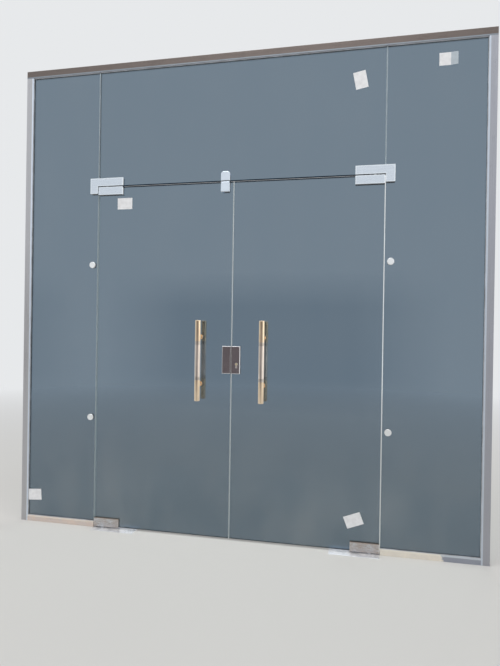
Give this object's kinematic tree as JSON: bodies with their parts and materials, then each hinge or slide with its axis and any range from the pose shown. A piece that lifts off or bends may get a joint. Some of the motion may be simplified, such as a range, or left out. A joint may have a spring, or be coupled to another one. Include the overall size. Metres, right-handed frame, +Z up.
{
  "type": "glass entrance door",
  "caption": "Frameless glass entrance door: swing leaves with patch fittings, floor springs, pull handles, a centre lock and a top bolt, set between fixed sidelights under an overpanel.",
  "frame": {"origin": "on the finished floor, at the line where the closed leaves meet, in the middle of the glass's thickness", "axes": "+X to the right as seen from outside, +Y inwards through the door, +Z up"},
  "size_m": [2.843, 0.154, 2.9575],
  "materials": {
    "aluminium": "satin anodised",
    "gasket": "matt",
    "block_plastic": "matt",
    "clear_seal": "clear sealant",
    "glass": "clear toughened, ground edges",
    "cast_clamp": "as cast",
    "satin_steel": "satin stainless",
    "screw_steel": "plain",
    "sheet_gasket": "matt",
    "chrome": "polished",
    "gold": "polished gold colour",
    "plug_brass": "turned",
    "spring_iron": "painted",
    "box_steel": "zinc plated"
  },
  "bodies": {
    "frame": {"head_channel": "aluminium", "left_jamb_channel": "aluminium", "right_jamb_channel": "aluminium", "left_sill_channel": "aluminium", "right_sill_channel": "aluminium", "left_sidelight_gasket": "gasket", "right_sidelight_gasket": "gasket", "overpanel_gasket": "gasket", "setting_blocks": "block_plastic", "butt_seals": "clear_seal", "left_sidelight": "glass", "right_sidelight": "glass", "overpanel": "glass", "left_corner_clamp": "cast_clamp", "right_corner_clamp": "cast_clamp", "left_corner_covers": "satin_steel", "right_corner_covers": "satin_steel", "corner_screws": "screw_steel", "left_top_pivot": "screw_steel", "right_top_pivot": "screw_steel", "fixed_fitting_gaskets": "sheet_gasket", "bolt_keeper": "chrome", "sidelight_buttons": "chrome", "left_floor_box": "box_steel", "right_floor_box": "box_steel", "left_floor_spring": "spring_iron", "right_floor_spring": "spring_iron", "left_floor_cover": "satin_steel", "right_floor_cover": "satin_steel"},
    "left_leaf": {"left_leaf_glass": "glass", "left_top_clamp": "cast_clamp", "left_bottom_clamp": "cast_clamp", "left_top_covers": "satin_steel", "left_bottom_covers": "satin_steel", "left_leaf_gaskets": "sheet_gasket", "left_leaf_screws": "screw_steel", "left_spindle": "screw_steel", "left_outer_grip": "chrome", "left_inner_grip": "chrome", "left_outer_ends": "gold", "left_inner_ends": "gold", "strike_box": "chrome", "bolt_housing": "chrome"},
    "right_leaf": {"right_leaf_glass": "glass", "right_top_clamp": "cast_clamp", "right_bottom_clamp": "cast_clamp", "right_top_covers": "satin_steel", "right_bottom_covers": "satin_steel", "right_leaf_gaskets": "sheet_gasket", "right_leaf_screws": "screw_steel", "right_spindle": "screw_steel", "right_outer_grip": "chrome", "right_inner_grip": "chrome", "right_outer_ends": "gold", "right_inner_ends": "gold", "lock_case": "chrome"},
    "top_bolt": {"top_bolt": "chrome"},
    "dead_bolt": {"dead_bolt": "screw_steel"},
    "thumbturn": {"thumbturn": "chrome"},
    "key_plug": {"key_plug": "plug_brass"}
  },
  "joints": [
    {"name": "left_leaf_swing", "type": "hinge", "parent": "frame", "child": "left_leaf", "pos_m": [-0.819, 0, 0], "axis": [0, 0, 1], "range_deg": [-90, 90], "stiffness_Nm_per_rad": 15},
    {"name": "right_leaf_swing", "type": "hinge", "parent": "frame", "child": "right_leaf", "pos_m": [0.819, 0, 0], "axis": [0, 0, 1], "range_deg": [-90, 90], "stiffness_Nm_per_rad": 15},
    {"name": "top_bolt_slide", "type": "slide", "parent": "left_leaf", "child": "top_bolt", "axis": [0, 0, 1], "range_m": [0, 0.014]},
    {"name": "thumbturn_turn", "type": "hinge", "parent": "right_leaf", "child": "thumbturn", "pos_m": [0.034, 0.018, 1.05], "axis": [0, 1, 0], "range_deg": [0, 90]},
    {"name": "dead_bolt_slide", "type": "slide", "parent": "right_leaf", "child": "dead_bolt", "axis": [-1, 0, 0], "range_m": [0, 0.018]},
    {"name": "key_plug_turn", "type": "hinge", "parent": "right_leaf", "child": "key_plug", "pos_m": [0.034, -0.0195, 1.05], "axis": [0, 1, 0], "range_deg": [0, 90]}
  ],
  "couplings": [
    {"joint": "thumbturn_turn", "follows": "dead_bolt_slide", "rad_per_m": 87.266}
  ]
}
